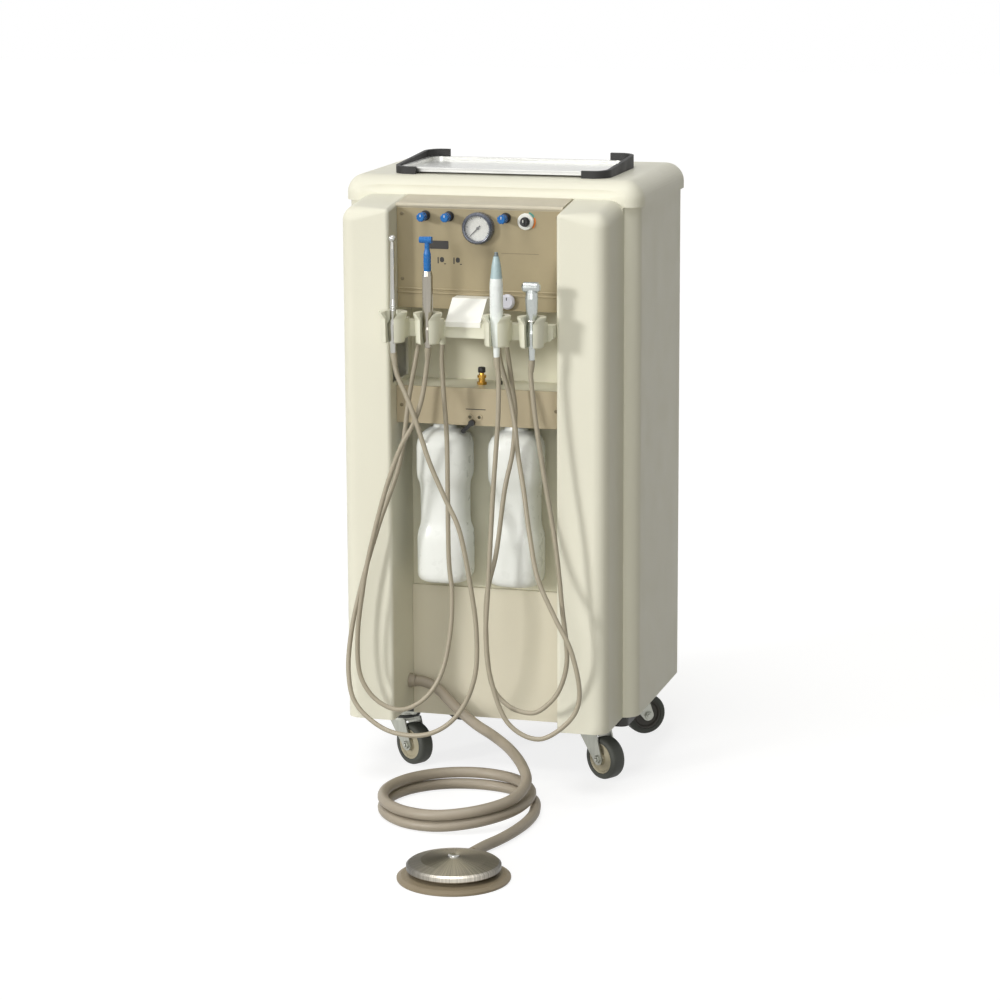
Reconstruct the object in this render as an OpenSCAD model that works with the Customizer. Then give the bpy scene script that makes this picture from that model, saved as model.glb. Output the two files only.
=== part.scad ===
// Portable dental unit: a wheeled cabinet with a delivery head, two bottles,
// four hanging instruments, a lift-off tray and a foot control on a hose.
// Millimetres, +Z up, the front looks along -Y, the floor is Z = 0.

/* [Cabinet] */
// width over the two front columns
front_width = 400; // [384:1:416]
// width of the body behind the columns
body_width = 442; // [432:1:470]
// distance from the column faces to the back of the lid
cabinet_depth = 402; // [390:1:440]
// height of the lid top above the floor
cabinet_height = 900; // [885:1:945]
// width of each front column
column_width = 75; // [70:1:82]
// how far the columns stand in front of the body
column_depth = 102; // [100:1:110]
// radius of the outer upright edges of the columns
column_radius = 22; // [14:1:28]
// height of the lid from its lower edge to its top
lid_height = 38; // [35:1:44]
// radius of the rounded edges and corners of the lid
lid_edge = 28; // [24:1:30]
// how much of the lid front the column tops cover
lid_lap = 11; // [8:1:13]
// how far the lid stands out past the body on each side
lid_overhang = 5; // [4.5:0.5:8]
// wall thickness of the formed shells
shell_wall = 4; // [3:0.5:4.5]

/* [Casters] */
// diameter of the four wheels
wheel_diameter = 64; // [58:1:68]
// width of the wheel treads
wheel_width = 24; // [20:1:27]
// distance from the swivel axis to the wheel axle
caster_trail = 24; // [18:1:26]
// distance from the side of the body in to the swivel axes
caster_inset = 71; // [60:1:76]
// distance between the front and rear swivel axes
wheelbase = 228; // [220:1:240]

/* [Delivery head] */
// how far the control panel stands behind the column faces
panel_setback = 40; // [36:1:48]
// height of the control panel face
panel_height = 152; // [144:1:158]
// diameter of the pressure gauge bezel
gauge_diameter = 46; // [40:1:52]
// diameter of the three flow valve knobs
knob_diameter = 13; // [11:0.5:15]
// diameter of the white selector dial
selector_diameter = 24; // [20:0.5:27]
// diameter of the low round control
round_control_diameter = 22; // [16:0.5:24]
// height of the cavity between the control panel and the service box
cavity_height = 114; // [110:1:124]
// height of the service panel
service_height = 55; // [50:1:62]

/* [Holders] */
// distance from the column faces forward to the holder cups
holder_reach = 50; // [48:1:54]
// distance between the two cups of a pair
holder_spacing = 52; // [52:0.5:56]
// distance from the middle of the cabinet to the middle of a pair
pair_offset = 77; // [72:1:82]
// height of a holder cup
cup_height = 44; // [40:1:48]
// width of the open front slot of a cup
slot_width = 13; // [10.5:0.5:14]

/* [Instruments] */
// diameter of the scaler handpiece
handpiece_diameter = 19; // [16:0.5:19]
// height of the syringe above the bottom of its cup, without its ball
syringe_length = 146; // [132:1:156]
// height of the chrome ejector tube above the bottom of its cup
ejector_length = 104; // [94:1:112]
// height of the scaler tip above the bottom of its cup
scaler_length = 134; // [122:1:146]
// height of the turbine head axis above the bottom of its cup
turbine_length = 86; // [76:1:96]
// length of the blue ejector tip
ejector_tip_length = 50; // [42:1:58]
// diameter of the four instrument hoses
hose_diameter = 7; // [6:0.25:7.5]

/* [Bottles] */
// width across the flats of a bottle
bottle_size = 78; // [72:1:84]
// height of a bottle body
bottle_height = 229; // [210:1:236]
// distance between the two bottles
bottle_spacing = 109; // [106:1:112]
// how far the pair of bottles sits to the left of the middle
bottle_shift = 4; // [0:0.5:6]

/* [Tray] */
// width of the tray over its rim
tray_width = 316; // [296:1:324]
// depth of the tray over its rim
tray_depth = 170; // [160:1:200]
// height of the tray
tray_height = 7; // [6.5:0.5:9]
// how far the tray sits to the right of the middle
tray_shift = 5.5; // [0:0.5:12]
// height of the tray rails at the front
rail_front = 10.5; // [9:0.5:14]
// height of the tray rails at the back
rail_back = 20; // [15:0.5:24]

/* [Foot control] */
// diameter of the foot control base
foot_diameter = 156; // [148:1:162]
// diameter of the bright pedal disc
pedal_diameter = 130; // [118:1:134]
// distance from the column faces to the middle of the foot control
foot_distance = 392; // [380:1:410]
// how far the foot control lies to the right
foot_side = 85; // [75:1:95]
// diameter of the foot control hose
foot_hose_diameter = 16; // [12:0.5:16]

/* [Hidden] */
$fn = 48;
fit_gap = 0.05;
body_gap = 0.4;
seam = 0.2;

// origin: middle of the plan, foot control included
lid_back = cabinet_depth;
rear_reach = max(lid_back, column_depth + 28 + wheelbase
    + (caster_trail + wheel_diameter / 2) * sin(37) + wheel_width / 2 * cos(37));
front_y = (foot_distance + foot_diameter / 2 - rear_reach) / 2;
body_back = cabinet_depth - lid_overhang;
lid_front = column_depth - lid_overhang;
lid_bottom = cabinet_height - lid_height;
shoulder_z = lid_bottom + lid_lap;
caster_height = wheel_diameter + 22;
base_thickness = 14;
body_bottom = caster_height + base_thickness;
body_half = body_width / 2;
body_corner = lid_edge - lid_overhang;
lid_half = body_half + lid_overhang;
column_outer = front_width / 2;
column_inner = column_outer - column_width;
recess_half = column_inner - 0.3;
liner_face = column_depth + shell_wall;

panel_top = shoulder_z - 5;
panel_bottom = panel_top - panel_height - 1;
service_top = panel_bottom - cavity_height;
service_bottom = service_top - service_height;
service_face = panel_setback - 10;
bottle_top = service_bottom - 9;
bottle_bottom = bottle_top - bottle_height;
lower_panel_top = bottle_bottom - 22;
lower_panel_face = column_depth - 4;
bottle_y = service_face + 25;

knob_z = panel_top - 18;
selector_z = knob_z - 4.5;
gauge_z = panel_top - 33.5;
round_control_z = panel_bottom + 14;
knob_x = [-81, -45, 40];
selector_x = 70;
round_control_x = 43;
port_x = [-12.5, 1.5];
port_z = service_bottom + 12.5;
lever_x = -8;
lever_z = service_bottom + 5;

cup_x = [-pair_offset - holder_spacing / 2, -pair_offset + holder_spacing / 2,
         pair_offset - holder_spacing / 2, pair_offset + holder_spacing / 2];
cup_y = -holder_reach;
cup_top = panel_bottom + 7;
cup_bottom = cup_top - cup_height;
cup_floor_radius = slot_width / 2;
cup_mouth_radius = cup_floor_radius + 5.5;
bar_front = -16;
bar_back = 6;
bar_top = cup_top - 18;
bar_bottom = bar_top - 22;
nipple_bottom = bar_bottom - 12;
nipple_x = [cup_x[0] + 24, cup_x[1] + 8, cup_x[2] - 10, cup_x[3] - 50];
nipple_y = -5;

caster_front_y = column_depth + 28;
caster_y = [caster_front_y, caster_front_y, caster_front_y + wheelbase, caster_front_y + wheelbase];
caster_reach = body_half - caster_inset;
caster_x = [-caster_reach, caster_reach, -caster_reach, caster_reach];
caster_turn = [-33, -33, 37, 37];

rail_wall = 6;
tray_middle_y = lid_front + lid_edge + rail_wall + tray_depth / 2;
rail_base = 2.5;

foot_base_height = 11;
pedal_bottom = 14;
stem_depth = 5.5;
tank_radius = 70;
tank_length = 210;
outlet_y = lower_panel_face - 18;
outlet_z = body_bottom + 41;

// routes of the free hoses, from the instrument tail to the bar, and from
// the left column to the foot control; heights are below the cup bottoms
hose_1_route = [[-98, -52, -55], [-85, -54, -83], [-70, -56, -119], [-48, -57, -183],
    [-25, -59, -233], [-2, -61, -283], [15, -62, -370], [22, -62, -430], [20, -62, -490],
    [2, -62, -540], [-28, -62, -574], [-68, -62, -590], [-121, -56, -586], [-166, -50, -554],
    [-180, -44, -510], [-178, -36, -450], [-163, -28, -375], [-137, -22, -285],
    [-107, -14, -195], [-94, -9, -102], [-84, -6, -45]];
hose_2_route = [[-53, -48, -38], [-62, -46, -90], [-76, -45, -130], [-97, -44, -168],
    [-121, -44, -234], [-146, -43, -326], [-158, -42, -387], [-166, -41, -448],
    [-164, -40, -508], [-141, -40, -545], [-104, -38, -560], [-67, -34, -542],
    [-42, -28, -503], [-30, -22, -444], [-28, -17, -384], [-34, -13, -326],
    [-36, -10, -164], [-41, -8, -91], [-44, -6, -40]];
hose_3_route = [[54, -51, -60], [53, -53, -121], [46, -54, -220], [38, -56, -364],
    [35, -58, -434], [42, -60, -495], [68, -62, -560], [115, -62, -582], [160, -62, -552],
    [176, -62, -512], [164, -62, -449], [139, -60, -400], [112, -54, -345], [97, -44, -282],
    [86, -34, -222], [75, -24, -173], [68, -16, -130], [58, -11, -85], [45, -8, -42]];
hose_4_route = [[101, -49, -50], [108, -47, -120], [119, -45, -195], [136, -43, -300],
    [145, -42, -390], [152, -41, -462], [142, -40, -508], [122, -40, -536], [97, -40, -550],
    [60, -38, -540], [34, -34, -502], [27, -28, -393], [40, -18, -318], [50, -8, -228],
    [60, 0, -172], [63, 4, -116], [59, 4, -79], [55, 0, -40]];
foot_hose_route = [[-104, 80, 140.5], [-91, 80, 136.5], [-77, 79, 128], [-63, 78, 115],
    [-48, 76, 102], [-32, 72, 91], [-12, 62, 82], [18, 42, 74], [52, 8, 66], [84, -40, 57],
    [104, -92, 48], [99, -150, 40], [60, -192, 33], [4, -209, 27], [-51, -193, 24.6],
    [-91, -153, 24.3], [-106, -98, 24.3], [-91, -42, 24.3], [-51, 0, 24.3], [4, 15, 24.6],
    [59, -1, 24.6], [96, -43, 24.5], [108, -98, 24.3], [97, -152, 22], [58, -192, 16],
    [4, -207, 10], [-51, -193, 8], [-91, -153, 8], [-106, -98, 8], [-91, -43, 8], [-51, -3, 8],
    [4, 11, 8], [60, -2, 8], [101, -42, 8], [118, -96, 8], [121, -142, 8], [116, -188, 8],
    [106, -232, 8], [93, -270, 8]];

cream = [0.87, 0.86, 0.78];
tan = [0.60, 0.54, 0.43];
steel = [0.75, 0.75, 0.73];
dark = [0.13, 0.13, 0.12];
blue = [0.02, 0.35, 0.66];
white = [0.93, 0.93, 0.91];
taupe = [0.64, 0.58, 0.50];
brass = [0.72, 0.55, 0.25];

// ---- shared shapes ----
module placed() translate([0, front_y, 0]) children();

module along_x(x0, x1) translate([x0, 0, 0]) rotate([90, 0, 90])
    linear_extrude(x1 - x0) children();

module along_y(y0, y1) translate([0, y1, 0]) rotate([90, 0, 0])
    linear_extrude(y1 - y0) children();

module box(x0, x1, y0, y1, z0, z1) translate([x0, y0, z0])
    cube([x1 - x0, y1 - y0, z1 - z0]);

// rectangle with its own radius for the front pair and the back pair of corners
module outline(x0, x1, y0, y1, rf, rb) {
    translate([x0 + rf, y0]) square([x1 - x0 - 2 * rf, (y1 - y0) / 2]);
    translate([x0 + rb, (y0 + y1) / 2 - 1]) square([x1 - x0 - 2 * rb, (y1 - y0) / 2 + 1]);
    translate([x0, y0 + rf]) square([x1 - x0, y1 - y0 - rf - rb]);
    for (x = [x0 + rf, x1 - rf]) translate([x, y0 + rf]) circle(rf);
    for (x = [x0 + rb, x1 - rb]) translate([x, y1 - rb]) circle(rb);
}

module slab(x0, x1, y0, y1, rf, rb, z0, z1) translate([0, 0, z0])
    linear_extrude(z1 - z0) outline(x0, x1, y0, y1, rf, rb);

// upright profile with rounded upper corners
module arch(a0, a1, z0, z1, r) {
    translate([a0, z0]) square([a1 - a0, z1 - z0 - r]);
    translate([a0 + r, z0]) square([a1 - a0 - 2 * r, z1 - z0]);
    for (a = [a0 + r, a1 - r]) translate([a, z1 - r]) circle(r);
}

// round bar between two depths, pointing along Y
module y_rod(x, z, r, y0, y1) translate([x, y1, z]) rotate([90, 0, 0]) cylinder(y1 - y0, r, r);

module y_cone(x, z, r0, r1, y0, y1) translate([x, y1, z]) rotate([90, 0, 0])
    cylinder(y1 - y0, r1, r0);

// ---- cabinet ----
module base_frame() color(dark) placed() difference() {
    slab(-body_half + 14, body_half - 14, lower_panel_face + 2, body_back - 26, 12, 12,
        caster_height, body_bottom);
    slab(-body_half + 17, body_half - 17, lower_panel_face + 5, body_back - 29, 9, 9,
        caster_height + 3, body_bottom + 1);
}

module body_form(inset, z0, z1)
    slab(-body_half + inset, body_half - inset, column_depth + inset, body_back - inset,
        body_corner - inset, body_corner - inset, z0, z1);

module cabinet_shell() color(cream) placed() difference() {
    body_form(0, body_bottom, lid_bottom + 6);
    body_form(shell_wall, body_bottom - 1, cabinet_height);
    box(-column_inner, column_inner, 0, column_depth + 20, 0, cabinet_height);
    box(-body_half + 34, body_half - 34, body_back - 20, body_back + 1, 0, lid_bottom - 14);
    along_x(-body_half - 1, body_half + 1)
        polygon([[body_back - 20, body_bottom - 1], [body_back + 1, body_bottom - 1],
            [body_back + 1, body_bottom + 46], [body_back - 2, body_bottom + 44],
            [body_back - 20, body_bottom + 8]]);
}

// closing sheet that follows the cut-back lower rear corner
module rear_panel() color(cream) placed() difference() {
    union() {
        box(-body_half + 34.2, body_half - 34.2, body_back - shell_wall, body_back - 1,
            body_bottom + 48, lid_bottom - 14.2);
        box(-body_half + 24, body_half - 24, body_back - shell_wall - 2,
            body_back - shell_wall, body_bottom + 46, lid_bottom - 6);
        intersection() {
            along_x(-body_half, body_half) polygon([[body_back - 22, body_bottom],
                [body_back - 20, body_bottom], [body_back - 20, body_bottom + 8],
                [body_back - shell_wall, body_bottom + 40],
                [body_back - shell_wall, body_bottom + 50],
                [body_back - shell_wall - 2, body_bottom + 50],
                [body_back - shell_wall - 2, body_bottom + 41],
                [body_back - 22, body_bottom + 9]]);
            body_form(shell_wall, body_bottom - 1, cabinet_height);
        }
    }
    for (side = [-1, 1], row = [0:7]) translate([side * 80, 0, lid_bottom - 90 - row * 16])
        box(-48, 48, body_back - 12, body_back + 1, 0, 7);
    box(-26, 26, body_back - 12, body_back + 1, body_bottom + 90, body_bottom + 120);
}

// post with a ball end, one corner of a rounded block
module ball_post(x, y, r, z0, z1) translate([x, y, 0]) {
    translate([0, 0, z0]) cylinder(z1 - r - z0, r, r, $fn = 40);
    translate([0, 0, z1 - r]) sphere(r, $fn = 40);
}

// column with soft shoulders, its top rising to the lid front
module column_form() {
    hull() {
        ball_post(column_outer - column_radius, column_radius, column_radius, body_bottom,
            shoulder_z - 8);
        ball_post(column_inner + 6, 6, 6, body_bottom, shoulder_z - 10.5);
        ball_post(column_inner + 6, 20, 6, body_bottom, shoulder_z - 8.5);
        along_y(lid_front - seam - 3, lid_front - seam) {
            translate([column_inner, body_bottom])
                square([column_width, shoulder_z - body_bottom - column_radius]);
            translate([column_inner, shoulder_z - 10]) square([20, 8]);
            translate([column_inner + 4, shoulder_z - 10]) square([20, 10]);
            translate([column_outer - column_radius, shoulder_z - column_radius])
                circle(column_radius, $fn = 40);
        }
    }
    box(column_inner, column_outer, lid_front - 4, column_depth, body_bottom, lid_bottom);
}

module column() difference() {
    column_form();
    slab(column_inner + shell_wall, column_outer - shell_wall, shell_wall, column_depth + 20,
        column_radius - shell_wall, 2, body_bottom - 1, lid_bottom - 30);
}

module right_column() color(cream) placed() column();

// the left column has the hose outlet and an access window to the cavity
module left_column() color(cream) placed() difference() {
    mirror([1, 0, 0]) column();
    translate([-column_inner - 5, outlet_y, outlet_z]) rotate([0, 90, 0]) cylinder(6, 9, 9);
    box(-column_inner - shell_wall - 1, -column_inner + 1, 14, column_depth - 12,
        service_top + 6, panel_bottom - 50);
}

// lid body, all edges and corners rolled by the same radius
module lid_form(inset, z0) hull() for (x = [lid_edge - lid_half, lid_half - lid_edge],
    y = [lid_front + lid_edge, lid_back - lid_edge])
    ball_post(x, y, lid_edge - inset, z0, cabinet_height - inset);

module top_cover() color(cream) placed() difference() {
    lid_form(0, lid_bottom);
    lid_form(shell_wall, lid_bottom - 1);
    box(-lid_half - 1, lid_half + 1, lid_front - 1, lid_back + 1, lid_bottom - lid_edge,
        lid_bottom);
    translate([0, lid_front - 7.4, lid_bottom + 22]) rotate([0, 90, 0]) {
        cylinder(2 * lid_half - 4 * lid_edge, 12, 12, center = true);
        for (end = [0, 180]) rotate([end, 0, 0])
            translate([0, 0, lid_half - 2 * lid_edge - 0.5]) cylinder(lid_edge, 12, 9.6);
    }
}

module recess_liner() color(cream) placed() {
    box(-column_inner - 10, column_inner + 10, liner_face, liner_face + 2.5,
        body_bottom, lid_bottom + 8);
}

module lower_front_panel() color(cream) placed() difference() {
    box(-recess_half, recess_half, lower_panel_face, liner_face, caster_height, lower_panel_top);
    box(-recess_half + 3, recess_half - 3, lower_panel_face + 2, liner_face + 1,
        caster_height - 1, lower_panel_top - 3);
    box(-recess_half - 1, recess_half + 1, column_depth - 2.2, liner_face + 1,
        caster_height - 1, body_bottom + 0.2);
}

// ---- control panel ----
module control_panel() color(tan) placed() difference() {
    union() {
        box(-recess_half, recess_half, panel_setback, panel_setback + 3, panel_bottom, panel_top);
        box(-recess_half, recess_half, panel_setback + 1, liner_face, panel_bottom,
            panel_bottom + 3);
        along_x(-recess_half, recess_half) polygon([[panel_setback + 1, panel_top - 4],
            [panel_setback + 1, panel_top - 1], [lid_front - seam - 2, shoulder_z + 0.6],
            [lid_front - seam, shoulder_z + 0.6], [lid_front - seam, shoulder_z - 4]]);
        for (drop = [22, 28]) translate([-recess_half, panel_setback, panel_bottom + drop])
            rotate([0, 90, 0]) cylinder(2 * recess_half, 1.4, 1.4);
        translate([-recess_half, panel_setback + 2, panel_top - 3.3]) rotate([0, 90, 0])
            cylinder(2 * recess_half, 3.6, 3.6);
    }
    for (x = knob_x) y_rod(x, knob_z, 4.6, panel_setback - 3, panel_setback + 4);
    y_rod(selector_x, selector_z, 4.6, panel_setback - 3, panel_setback + 4);
    y_rod(round_control_x, round_control_z, 4.6, panel_setback - 3, panel_setback + 4);
    y_rod(0, gauge_z, gauge_diameter / 2 - 3, panel_setback - 3, panel_setback + 4);
}

// the black valve necks behind the three knobs
module valve_bushings() color(dark) placed() for (x = knob_x) difference() {
    union() {
        y_rod(x, knob_z, 7.5, panel_setback - 2.5, panel_setback);
        y_rod(x, knob_z, 5.6, panel_setback - 9, panel_setback - 2);
        y_rod(x, knob_z, 4.5, panel_setback - 1, panel_setback + 16);
    }
    y_rod(x, knob_z, 3, panel_setback - 10, panel_setback + 12);
}

module valve_knob(x) color(blue) placed() {
    difference() {
        union() {
            y_rod(x, knob_z, knob_diameter / 2, panel_setback - 24, panel_setback - 13);
            y_cone(x, knob_z, knob_diameter / 2 - 1.5, knob_diameter / 2,
                panel_setback - 26, panel_setback - 24);
            y_cone(x, knob_z, knob_diameter / 2, knob_diameter / 2 - 1.5,
                panel_setback - 13, panel_setback - 9.5);
        }
        for (turn = [0:45:315]) translate([x + cos(turn) * (knob_diameter / 2 + 0.6), 0,
            knob_z + sin(turn) * (knob_diameter / 2 + 0.6)])
            y_rod(0, 0, 1.4, panel_setback - 27, panel_setback - 15);
    }
    y_rod(x, knob_z, 3 - fit_gap, panel_setback - 10, panel_setback + 11);
}

module air_knob() valve_knob(knob_x[0]);
module water_knob() valve_knob(knob_x[1]);
module coolant_knob() valve_knob(knob_x[2]);

module selector_dial() color(white) placed() difference() {
    union() {
        y_rod(selector_x, selector_z, selector_diameter / 2, panel_setback - 3, panel_setback);
        y_cone(selector_x, selector_z, selector_diameter / 2 - 1.2, selector_diameter / 2,
            panel_setback - 4.2, panel_setback - 3);
        y_rod(selector_x, selector_z, 4.5, panel_setback - 1, panel_setback + 16);
    }
    y_rod(selector_x, selector_z, 3, panel_setback - 6, panel_setback + 12);
}

module selector_knob() color(dark) placed() {
    y_rod(selector_x, selector_z, 7, panel_setback - 7.5, panel_setback - 4.6);
    y_rod(selector_x, selector_z, 5.2, panel_setback - 15, panel_setback - 7);
    box(selector_x - 1.6, selector_x + 1.6, panel_setback - 17, panel_setback - 14,
        selector_z - 4.6, selector_z + 4.6);
    y_rod(selector_x, selector_z, 3 - fit_gap, panel_setback - 5, panel_setback + 11);
}

module round_control() color(white) placed() {
    y_rod(round_control_x, round_control_z, round_control_diameter / 2,
        panel_setback - 7, panel_setback - 2.4);
    y_cone(round_control_x, round_control_z, round_control_diameter / 2 - 2.5,
        round_control_diameter / 2, panel_setback - 9.5, panel_setback - 7);
    y_rod(round_control_x, round_control_z, 4.6 - fit_gap, panel_setback - 3, panel_setback + 9);
}

module pressure_gauge() color(steel) placed() difference() {
    union() {
        y_rod(0, gauge_z, gauge_diameter / 2, panel_setback - 11, panel_setback);
        y_cone(0, gauge_z, gauge_diameter / 2 - 2.5, gauge_diameter / 2,
            panel_setback - 14, panel_setback - 11);
        y_rod(0, gauge_z, gauge_diameter / 2 - 3.1, panel_setback - 1, panel_setback + 26);
        y_rod(0, gauge_z, 6, panel_setback + 25, panel_setback + 38);
    }
    y_rod(0, gauge_z, gauge_diameter / 2 - 4.5, panel_setback - 15, panel_setback - 5);
    y_rod(0, gauge_z, 3, panel_setback + 20, panel_setback + 39);
}

module gauge_dial() color(white) placed() difference() {
    y_rod(0, gauge_z, gauge_diameter / 2 - 4.6, panel_setback - 6.5, panel_setback - 5);
    y_rod(0, gauge_z, 1, panel_setback - 7, panel_setback - 4);
}

module gauge_needle() color(dark) placed() {
    y_rod(0, gauge_z, 2.2, panel_setback - 8.6, panel_setback - 7);
    y_rod(0, gauge_z, 1 - fit_gap, panel_setback - 8, panel_setback - 5.3);
    translate([0, 0, gauge_z]) rotate([0, 45, 0]) along_y(panel_setback - 8.2, panel_setback - 7.4)
        polygon([[-1.1, 5], [1.1, 5], [0.5, -gauge_diameter / 2 + 8],
            [-0.5, -gauge_diameter / 2 + 8]]);
}

// ---- service box ----
module service_box() color(cream) placed() difference() {
    box(-recess_half, recess_half, service_face + 3, liner_face, service_bottom, service_top);
    box(-recess_half + 3, recess_half - 3, service_face + 2, liner_face + 1,
        service_bottom - 1, service_top - 3);
}

module service_panel() color(tan) placed() difference() {
    union() {
        box(-recess_half, recess_half, service_face, service_face + 3,
            service_bottom, service_top);
        for (x = port_x) y_rod(x, port_z, 4.6, service_face - 1.5, service_face + 1);
    }
    for (x = port_x) y_rod(x, port_z, 2.5, service_face - 3, service_face + 4);
    y_rod(lever_x, lever_z, 2.5, service_face - 1, service_face + 4);
}

module brass_coupling() color(brass) placed() translate([-5, liner_face - 40, service_top])
    difference() {
        union() {
            cylinder(4, 7.5, 7.5, $fn = 6);
            translate([0, 0, 4]) cylinder(7, 5, 5);
            translate([0, 0, 10]) cylinder(4, 6.5, 6.5);
            translate([0, 0, 14]) cylinder(4, 4, 3.4);
        }
        translate([0, 0, 3]) cylinder(16, 2.5, 2.5);
    }

module drain_lever() color(dark) placed() translate([lever_x, 0, lever_z]) {
    y_rod(0, 0, 2.5 - fit_gap, service_face - 4, service_face + 2.8);
    y_rod(0, 0, 4.5, service_face - 11, service_face - 3.5);
    rotate([0, 225, 0]) box(-2.6, 2.6, service_face - 10.5, service_face - 5, -1, 17);
    rotate([0, 225, 0]) translate([0, 0, 17]) y_rod(0, 0, 3.6, service_face - 11, service_face - 4.5);
}

module bottle_caps() color(dark) placed() for (side = [-1, 1])
    translate([side * bottle_spacing / 2 - bottle_shift, bottle_y, 0]) difference() {
        union() {
            translate([0, 0, bottle_top + 12]) cylinder(23, 21, 20);
            translate([0, 0, bottle_top + 34]) cylinder(service_top - 3 - bottle_top - 34, 9, 9);
        }
        translate([0, 0, bottle_top + 11]) cylinder(21.3, 17 + fit_gap, 17 + fit_gap);
        translate([0, 0, bottle_top + 31]) cylinder(3, 4, 4);
    }

// one level of a bottle, a rounded square plate
module bottle_level(z, size, r) translate([0, 0, z]) linear_extrude(0.6)
    outline(-size / 2, size / 2, -size / 2, size / 2, r, r, $fn = 32);

module bottle_solid(cut) {
    size = bottle_size - 2 * cut;
    low = cut;
    high = bottle_height - cut;
    levels = [[low, size - 14, 26], [low + 7, size, 30], [bottle_height * 0.30, size, 30],
        [bottle_height * 0.38, size - 10, 28], [bottle_height * 0.62, size - 10, 28],
        [bottle_height * 0.70, size, 30], [high - 18, size, 30], [high - 0.6, 40 - 2 * cut, 18 - cut]];
    for (i = [0:len(levels) - 2]) hull() {
        bottle_level(levels[i][0], levels[i][1], levels[i][2]);
        bottle_level(levels[i + 1][0], levels[i + 1][1], levels[i + 1][2]);
    }
    translate([0, 0, high - 1]) cylinder(33, 17 - cut, 17 - cut);
}

module bottle(side) color(white) placed()
    translate([side * bottle_spacing / 2 - bottle_shift, bottle_y, bottle_bottom]) difference() {
        bottle_solid(0);
        bottle_solid(2);
        translate([0, 0, bottle_height + 20]) cylinder(20, 15, 15);
    }

module water_bottle() bottle(-1);
module waste_bottle() bottle(1);

// ---- holders ----
module holder_bar() color(cream) placed() difference() {
    union() {
        box(-recess_half, recess_half, bar_front, bar_back, bar_bottom, bar_top);
        for (x = nipple_x) translate([x, nipple_y, nipple_bottom]) cylinder(13, 4.4, 5);
    }
    for (x = [-recess_half, recess_half])
        translate([x, 0, bar_bottom]) rotate([0, 45, 0]) cube([6, 60, 6], center = true);
}

module holder_bracket() color(white) placed() {
    along_x(-34, 18) polygon([[panel_setback, bar_top + 28], [panel_setback, bar_top + 31],
        [16, bar_top + 31], [bar_front - 3, bar_top + 1], [bar_front - 3, bar_top - 6],
        [bar_front, bar_top - 6], [bar_front, bar_top], [17.5, bar_top + 28]]);
    for (x = [-34, 15]) along_x(x, x + 3) polygon([[17.5, bar_top + 28],
        [panel_setback, bar_top + 28], [panel_setback, bar_top + 12], [bar_back, bar_top - 4],
        [bar_back, bar_top], [bar_front, bar_top]]);
}

module holder_cup(i) color(cream) placed() translate([cup_x[i], cup_y, cup_bottom]) difference() {
    union() {
        turned([[0, 0], [15.5, 0], [17, 2], [18.2, cup_height * 0.5], [18.6, cup_height * 0.8],
            [20.6, cup_height - 3], [20.6, cup_height], [0, cup_height]]);
        box(-14, 14, 0, bar_front - cup_y, 4, cup_height - 12);
    }
    turned([[0, -1], [cup_floor_radius, -1], [cup_floor_radius, 0],
        [cup_mouth_radius, cup_height], [cup_mouth_radius, cup_height + 1], [0, cup_height + 1]]);
    along_y(-30, 0) polygon([[-slot_width / 2 + 0.2, -1], [slot_width / 2 - 0.2, -1],
        [slot_width / 2 - 0.2, cup_height - 9], [slot_width / 2 + 7, cup_height + 1],
        [-slot_width / 2 - 7, cup_height + 1], [-slot_width / 2 + 0.2, cup_height - 9]]);
}

module holder_cup_1() holder_cup(0);
module holder_cup_2() holder_cup(1);
module holder_cup_3() holder_cup(2);
module holder_cup_4() holder_cup(3);

// ---- instruments: each stands in its cup on a cone that matches the cup ----
seat_low = cup_floor_radius - 0.35;
seat_high = cup_floor_radius + 5.5 * 20 / cup_height - 0.35;
tail_drop = [16, 6, 16, 18];

module in_cup(i) placed() translate([cup_x[i], cup_y, cup_bottom]) children();

module turned(points) rotate_extrude($fn = 40) polygon(points);

module air_water_syringe() color(steel) in_cup(0) {
    turned([[0, -tail_drop[0]], [4.3, -tail_drop[0]], [4.6, -2], [seat_low, 0.4],
        [seat_high, 20.4], [seat_high, 26], [4.6, 33], [4.4, 52], [3.6, 62],
        [2.9, syringe_length - 12], [2.4, syringe_length], [0, syringe_length]]);
    translate([0, 0, syringe_length + 3]) sphere(5, $fn = 24);
}

module saliva_ejector() color(steel) in_cup(1) difference() {
    turned([[0, -tail_drop[1]], [4.3, -tail_drop[1]], [4.8, -2], [seat_low, 0.4], [seat_high, 20.4],
        [7.6, 24], [7.6, ejector_length - 7], [6.2, ejector_length], [0, ejector_length]]);
    translate([0, 0, ejector_length - 14]) cylinder(15, 4, 4);
}

module ejector_tip() color(blue) in_cup(1) translate([0, 0, ejector_length]) {
    translate([0, 0, -13]) cylinder(14, 4 - fit_gap, 4 - fit_gap);
    turned([[0, 0], [5, 0], [5.4, 4], [5.4, 24], [3.6, 31], [3.6, ejector_tip_length - 6],
        [0, ejector_tip_length - 6]]);
    translate([-11, 0, ejector_tip_length - 5.5]) rotate([0, 90, 0]) cylinder(18, 4.6, 5);
}

module scaler_handpiece() color(white) in_cup(2) {
    r = handpiece_diameter / 2;
    turned([[0, -tail_drop[2]], [4.3, -tail_drop[2]], [5, -2], [seat_low, 0.4], [seat_high, 20.4],
        [r - 0.6, 27], [r, 50], [r, scaler_length - 46], [r - 0.7, scaler_length - 38],
        [r - 1, scaler_length - 36], [r - 3, scaler_length - 18], [r - 5.6, scaler_length - 6],
        [2.6, scaler_length - 4], [2.3, scaler_length], [0, scaler_length]]);
}

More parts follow.
